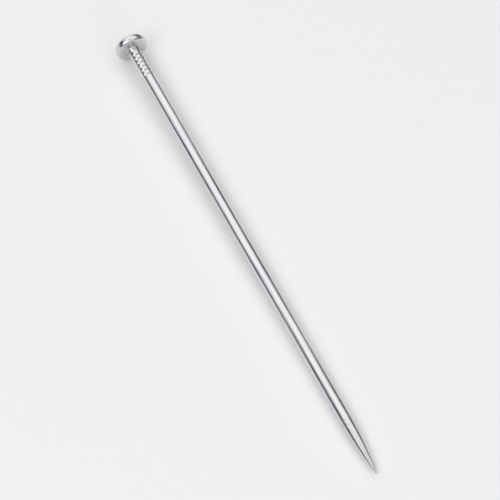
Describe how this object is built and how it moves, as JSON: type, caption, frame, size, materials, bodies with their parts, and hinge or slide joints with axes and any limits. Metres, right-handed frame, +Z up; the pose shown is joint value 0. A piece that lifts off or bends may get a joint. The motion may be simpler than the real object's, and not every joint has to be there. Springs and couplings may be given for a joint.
{
  "type": "straight pin",
  "caption": "Fine straight sewing pin of bright steel wire, with a small flat head struck from one end and a long ground point at the other.",
  "frame": {"origin": "on the table, under the middle of the lying pin's box", "axes": "+X runs along the pin from head to point, +Z is up; the pin lies on the rim of its head and on the shoulder where its point begins, so its centre line falls 1.135 degrees towards the point"},
  "size_m": [0.026, 0.0014, 0.0015],
  "materials": {
    "bright_steel": "polished"
  },
  "bodies": {
    "root": {"straight_pin": "bright_steel"}
  },
  "joints": []
}
